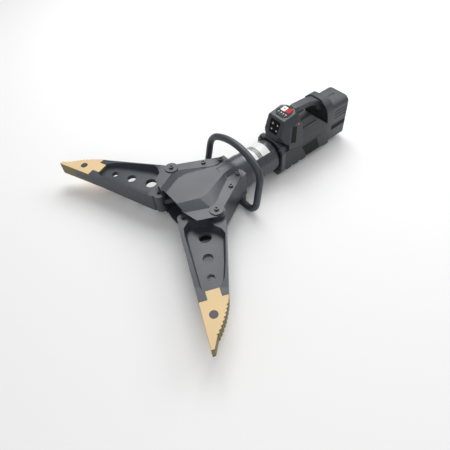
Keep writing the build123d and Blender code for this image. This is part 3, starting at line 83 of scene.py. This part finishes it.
def mix(tree, factor, first, second):
    """Colour between first and second."""
    node = add_node(tree, "ShaderNodeMix", data_type="RGBA")
    tree.links.new(factor, node.inputs["Factor"])
    for socket, value in ((node.inputs[6], first), (node.inputs[7], second)):
        if isinstance(value, tuple):
            socket.default_value = value
        else:
            tree.links.new(value, socket)
    return node.outputs[2]


def shade(color, factor):
    return (*(min(1.0, c * factor) for c in color), 1.0)


def finish_of(name, color, rough, metal=0.0, grain=900.0, bump=0.12, height=0.0002, vary=0.12,
              edge=None, stretch=None, coat=0.0, gloss=0.5, emission=0.0, painted_side_shade=None):
    """A surface: colour in patches and grain, roughness that varies, bump, worn edges, and painted shade on
    the upright sides.
    """
    mat = bpy.data.materials.new(name)
    mat.use_nodes = True
    tree = mat.node_tree
    shader = tree.nodes["Principled BSDF"]
    coords = add_node(tree, "ShaderNodeTexCoord")
    patches = noise(tree, coords, patch_scale)
    fine = noise(tree, coords, grain, 2.0, stretch)
    base = mix(tree, spread(tree, patches, 0.0, 1.0), shade(color, 1.0 - vary), shade(color, 1.0 + vary))
    speckle = mix(tree, spread(tree, fine, 0.0, 0.35), base, shade(color, speckle_gain))
    soft = add_node(tree, "ShaderNodeBevel", samples=4, Radius=edge_rounding)
    geometry = add_node(tree, "ShaderNodeNewGeometry")
    # Painted shade: faces that stand upright take the given darker colour, fading back to the own colour on
    # faces that point up or down.
    if painted_side_shade:
        parts = add_node(tree, "ShaderNodeSeparateXYZ")
        tree.links.new(geometry.outputs["Normal"], parts.inputs["Vector"])
        level = add_node(tree, "ShaderNodeMath", operation="ABSOLUTE")
        tree.links.new(parts.outputs["Z"], level.inputs[0])
        speckle = mix(tree, level.outputs["Value"], (*painted_side_shade, 1.0), speckle)
    if edge:
        dot = add_node(tree, "ShaderNodeVectorMath", operation="DOT_PRODUCT")
        tree.links.new(soft.outputs["Normal"], dot.inputs[0])
        tree.links.new(geometry.outputs["Normal"], dot.inputs[1])
        rim = add_node(tree, "ShaderNodeMapRange")
        rim.inputs["From Min"].default_value = 0.995
        rim.inputs["From Max"].default_value = 0.9
        tree.links.new(dot.outputs["Value"], rim.inputs["Value"])
        worn = add_node(tree, "ShaderNodeMath", operation="MULTIPLY")
        tree.links.new(rim.outputs["Result"], worn.inputs[0])
        tree.links.new(spread(tree, noise(tree, coords, wear_scale), 0.1, 0.7), worn.inputs[1])
        speckle = mix(tree, worn.outputs["Value"], speckle, (*edge, 1.0))
    tree.links.new(speckle, shader.inputs["Base Color"])
    roughness = spread(tree, patches, rough - rough_spread, rough + rough_spread)
    tree.links.new(roughness, shader.inputs["Roughness"])
    relief = add_node(tree, "ShaderNodeBump", Strength=bump, Distance=height)
    tree.links.new(fine, relief.inputs["Height"])
    tree.links.new(soft.outputs["Normal"], relief.inputs["Normal"])
    tree.links.new(relief.outputs["Normal"], shader.inputs["Normal"])
    shader.inputs["Metallic"].default_value = metal
    shader.inputs["Coat Weight"].default_value = coat
    shader.inputs["Specular IOR Level"].default_value = gloss
    if emission:
        shader.inputs["Emission Color"].default_value = shade(color, 1.0)
        shader.inputs["Emission Strength"].default_value = emission
    return mat


anthracite = (0.037, 0.043, 0.055)
worn_edge = (0.13, 0.13, 0.135)
finishes = {
    "arm_paint": finish_of("arm_paint", anthracite, 0.36, gloss=0.55, edge=worn_edge),
    "yoke_paint": finish_of("yoke_paint", anthracite, 0.36, gloss=0.55, edge=worn_edge),
    "cover_paint": finish_of("cover_paint", (0.042, 0.048, 0.060), 0.36, gloss=0.55,
                             edge=(0.15, 0.15, 0.155)),
    "cylinder_paint": finish_of("cylinder_paint", (0.036, 0.042, 0.053), 0.28, gloss=0.6,
                                edge=worn_edge, coat=0.15),
    "handle_coat": finish_of("handle_coat", (0.034, 0.040, 0.050), 0.36, gloss=0.55),
    # The tip coat's upright sides get a painted shade in olive-brown.
    "tip_coat": finish_of("tip_coat", (0.70, 0.52, 0.29), 0.50, gloss=0.3, grain=1400.0, vary=0.05,
                          edge=(0.70, 0.56, 0.34), painted_side_shade=(0.16, 0.13, 0.045)),
    "pin_steel": finish_of("pin_steel", (0.055, 0.058, 0.066), 0.42, gloss=0.5, grain=1600.0),
    "dark_steel": finish_of("dark_steel", (0.045, 0.046, 0.050), 0.38, gloss=0.6,
                            edge=(0.22, 0.22, 0.22)),
    "bronze": finish_of("bronze", (0.50, 0.34, 0.17), 0.35, 1.0),
    "rod_chrome": finish_of("rod_chrome", (0.62, 0.63, 0.65), 0.12, 1.0, bump=0.03),
    "bare_aluminium": finish_of("bare_aluminium", (0.55, 0.56, 0.57), 0.35, 1.0,
                                stretch=(1.0, 0.1, 1.0)),
    "seal_plastic": finish_of("seal_plastic", (0.60, 0.55, 0.42), 0.5),
    "housing_plastic": finish_of("housing_plastic", (0.027, 0.030, 0.035), 0.50, gloss=0.45, bump=0.3,
                                 height=0.0003),
    "head_plastic": finish_of("head_plastic", (0.032, 0.036, 0.044), 0.42, gloss=0.45, bump=0.25,
                              height=0.0003),
    "trim_black": finish_of("trim_black", (0.003, 0.003, 0.004), 0.30, gloss=0.12, bump=0.02),
    "panel_white": finish_of("panel_white", (0.74, 0.74, 0.73), 0.40, gloss=0.3, bump=0.02, vary=0.03),
    "button_red": finish_of("button_red", (0.52, 0.003, 0.005), 0.40, gloss=0.12, bump=0.02, vary=0.06),
    "reflector_black": finish_of("reflector_black", (0.003, 0.003, 0.004), 0.35, gloss=0.12),
    "lens_clear": finish_of("lens_clear", (0.035, 0.037, 0.042), 0.12, gloss=0.5, coat=0.3,
                            bump=0.02, vary=0.1),
    "lamp_red": finish_of("lamp_red", (0.60, 0.03, 0.04), 0.25, emission=0.25),
    "rubber": finish_of("rubber", (0.010, 0.010, 0.011), 0.62, gloss=0.35, bump=0.35),
    "grip_plastic": finish_of("grip_plastic", (0.040, 0.044, 0.051), 0.46, grain=420.0, bump=0.6,
                              height=0.0006),
    "dock_plastic": finish_of("dock_plastic", (0.036, 0.040, 0.048), 0.48, gloss=0.45, bump=0.3,
                              height=0.0003),
    "battery_plastic": finish_of("battery_plastic", (0.038, 0.042, 0.051), 0.42, gloss=0.48, bump=0.3,
                                 height=0.0003),
    "latch_plastic": finish_of("latch_plastic", (0.005, 0.005, 0.006), 0.5, gloss=0.15, bump=0.2),
    "contact_brass": finish_of("contact_brass", (0.70, 0.50, 0.22), 0.3, 1.0),
    "cell_wrap": finish_of("cell_wrap", (0.06, 0.20, 0.42), 0.3, bump=0.03),
    "pump_metal": finish_of("pump_metal", (0.45, 0.46, 0.48), 0.4, 1.0),
    "motor_steel": finish_of("motor_steel", (0.32, 0.32, 0.33), 0.4, 1.0),
    "rotor_steel": finish_of("rotor_steel", (0.36, 0.28, 0.22), 0.4, 1.0),
    "bladder_rubber": finish_of("bladder_rubber", (0.03, 0.03, 0.03), 0.6),
    "circuit_green": finish_of("circuit_green", (0.02, 0.16, 0.05), 0.35),
}
icon_light = finish_of("icon_light", (0.70, 0.71, 0.72), 0.45, bump=0.01, vary=0.04)
icon_dark = finish_of("icon_dark", (0.05, 0.05, 0.055), 0.45, bump=0.01)
icon_red = finish_of("icon_red", (0.20, 0.004, 0.006), 0.45, bump=0.01)
light_chip = finish_of("light_chip", (0.80, 0.80, 0.74), 0.3, bump=0.01, emission=0.35)
label_print = finish_of("label_print", (0.80, 0.80, 0.79), 0.38, gloss=0.4, bump=0.02, vary=0.03)
slot_of = {entry["node"]: entry["material_slot"] for entry in frame["record"]["subparts"]}


for name, obj in nodes.items():
    obj.data.materials.clear()
    obj.data.materials.append(finishes[slot_of[name]])


# Small printed marks on the display, and a plain label with stripes round the cylinder
origin_y = -0.164946          # pivot line, metres
axis_z = 0.059
panel_lift = 0.0008           # display plane to the panel's face
button_lift = 0.0016          # display plane to the button's face
print_thickness = 0.0001
lens_sunk = 0.002
chip_size = 0.0026
chip_thickness = 0.0003
cylinder_radius = 0.0475
label_thickness = 0.00018
label_start = -40             # degrees from straight up
label_end = 36


def prism(name, outline, origin, across, back, thickness, material):
    """Thin plate with the outline, in a plane given by its origin and two directions."""
    normal = across.cross(back)
    mesh = bpy.data.meshes.new(name)
    count = len(outline)
    flat = [origin + across * x + back * y for x, y in outline]
    points = flat + [point + normal * thickness for point in flat]
    faces = [tuple(reversed(range(count))), tuple(range(count, 2 * count))]
    for i in range(count):
        after = (i + 1) % count
        faces.append((i, after, count + after, count + i))
    mesh.from_pydata([tuple(p) for p in points], [], faces)
    mesh.materials.append(material)
    obj = bpy.data.objects.new(name, mesh)
    bpy.context.scene.collection.objects.link(obj)
    return obj


def ring_points(middle, outer, inner, start, end, steps):
    """Outline of an open ring, angles in degrees."""
    angles = [math.radians(start + (end - start) * i / steps) for i in range(steps + 1)]
    out = [(middle[0] + outer * math.cos(a), middle[1] + outer * math.sin(a)) for a in angles]
    back = [(middle[0] + inner * math.cos(a), middle[1] + inner * math.sin(a)) for a in reversed(angles)]
    return out + back


def bar(middle, width, height):
    """Rectangle with cut corners."""
    x, y = middle
    w, h, c = width / 2, height / 2, min(width, height) * 0.25
    return [(x - w + c, y - h), (x + w - c, y - h), (x + w, y - h + c), (x + w, y + h - c),
            (x + w - c, y + h), (x - w + c, y + h), (x - w, y + h - c), (x - w, y - h + c)]


slope = math.atan2(8.5, 53.0)
top_across = Vector((1, 0, 0))
top_back = Vector((0, math.cos(slope), math.sin(slope)))
top_normal = top_across.cross(top_back)
top_origin = Vector((0, origin_y + 0.292, axis_z + 0.1155))
marks = []
place = top_origin + top_normal * panel_lift
for index, x in enumerate((-0.0135, -0.0045, 0.0045, 0.0135)):
    marks.append((f"display_bar_{index}", bar((x, 0.0215), 0.0042, 0.0028), place, icon_light, "tool"))
    marks.append((f"display_dot_{index}", bar((x, 0.0165), 0.0016, 0.0016), place, icon_light, "tool"))
marks.append(("field_icon", bar((-0.0085, 0.0385), 0.0060, 0.0030), place, icon_dark, "tool"))
marks.append(("field_icon_end", bar((-0.0048, 0.0385), 0.0008, 0.0016), place, icon_dark, "tool"))
place = top_origin + top_normal * button_lift
marks.append(("power_ring", ring_points((0.009, 0.0375), 0.0036, 0.0028, 120, 420, 28), place, icon_red,
              "power_button"))
marks.append(("power_stroke", bar((0.009, 0.0405), 0.0008, 0.0034), place, icon_red, "power_button"))
for name, outline, place, material, body in marks:
    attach(prism(name, outline, place, top_across, top_back, print_thickness, material), body)

lean = math.atan2(18.2, 62.3)
face_up = Vector((0, math.sin(lean), math.cos(lean)))
face_out = top_across.cross(face_up)
lens_origin = Vector((0, origin_y + 0.2738, axis_z + 0.0532)) - face_out * lens_sunk
for index, (x, y) in enumerate(((0.009, 0.0274), (-0.009, 0.0274), (0.009, 0.044), (-0.009, 0.044))):
    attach(prism(f"light_chip_{index}", bar((x, y), chip_size, chip_size), lens_origin, top_across, face_up,
                  chip_thickness, light_chip), "tool")


def wrap(name, start_y, end_y, start_angle, end_angle, radius, thickness, material):
    """Thin sheet round the cylinder; angles in degrees from straight up."""
    steps = 40
    mesh = bpy.data.meshes.new(name)
    points = []
    for i in range(steps + 1):
        a = math.radians(start_angle + (end_angle - start_angle) * i / steps)
        for r in (radius, radius + thickness):
            for y in (start_y, end_y):
                points.append((r * math.sin(a), origin_y + y, axis_z + r * math.cos(a)))
    faces = [(0, 1, 3, 2), (4 * steps, 4 * steps + 2, 4 * steps + 3, 4 * steps + 1)]
    for i in range(steps):
        n = 4 * i
        faces += [(n, n + 4, n + 5, n + 1), (n + 2, n + 3, n + 7, n + 6),
                  (n, n + 2, n + 6, n + 4), (n + 1, n + 5, n + 7, n + 3)]
    mesh.from_pydata(points, [], faces)
    mesh.materials.append(material)
    mesh.shade_smooth()
    obj = bpy.data.objects.new(name, mesh)
    bpy.context.scene.collection.objects.link(obj)
    edges = obj.modifiers.new("edges", "EDGE_SPLIT")
    edges.split_angle = math.radians(40)
    return obj


label_bands = ((0.2180, 0.2455), (0.2140, 0.2153), (0.2105, 0.2118), (0.2070, 0.2083), (0.1935, 0.2045))
for index, (start_y, end_y) in enumerate(label_bands):
    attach(wrap(f"label_band_{index}", start_y, end_y, label_start, label_end, cylinder_radius,
                 label_thickness, label_print), "tool")


# Floor, lights and camera
def area_light(name, place, aim, size, power):
    data = bpy.data.lights.new(name, "AREA")
    data.shape = "RECTANGLE"
    data.size, data.size_y = size
    data.energy = power
    obj = bpy.data.objects.new(name, data)
    bpy.context.scene.collection.objects.link(obj)
    obj.location = place
    obj.rotation_euler = (Vector(aim) - Vector(place)).to_track_quat("-Z", "Y").to_euler()


floor_mesh = bpy.data.meshes.new("floor")
half = 6.0
corners = [(-half, -half, 0), (half, -half, 0), (half, half, 0), (-half, half, 0)]
floor_mesh.from_pydata(corners, [], [(0, 1, 2, 3)])
floor = bpy.data.objects.new("floor", floor_mesh)
bpy.context.scene.collection.objects.link(floor)
floor.location.z = -0.0002
floor_mat = bpy.data.materials.new("floor")
floor_mat.use_nodes = True
floor_shader = floor_mat.node_tree.nodes["Principled BSDF"]
floor_shader.inputs["Base Color"].default_value = (0.88, 0.88, 0.88, 1)
floor_shader.inputs["Roughness"].default_value = 0.9
floor_shader.inputs["Specular IOR Level"].default_value = 0.1
floor_mesh.materials.append(floor_mat)

area_light("key", (-1.1, 1.0, 2.1), (0, 0, 0), (1.8, 1.8), 46)
area_light("fill", (1.6, -1.2, 1.8), (0, 0, 0), (1.6, 1.6), 10)
area_light("rear", (0.3, 2.2, 1.6), (0, 0, 0.05), (1.8, 1.0), 17)
world = bpy.data.worlds.new("world")
world.use_nodes = True
world.node_tree.nodes["Background"].inputs["Color"].default_value = (1, 1, 1, 1)
world.node_tree.nodes["Background"].inputs["Strength"].default_value = 0.46
bpy.context.scene.world = world
bpy.context.scene.view_settings.view_transform = "Standard"

camera_data = bpy.data.cameras.new("camera")
camera_data.sensor_width = 36.0
camera_data.lens = 31.72
camera_data.clip_start = 0.05
camera = bpy.data.objects.new("camera", camera_data)
bpy.context.scene.collection.objects.link(camera)
right = Vector((0.6229, 0.7801, -0.0586))
down = Vector((0.583, -0.5129, -0.6301))
forward = Vector((-0.5216, 0.3583, -0.7743))
turn = Matrix((right, -down, -forward)).transposed().to_4x4()
camera.matrix_world = Matrix.Translation((0.6441, -0.51765, 0.8322)) @ turn
bpy.context.scene.camera = camera
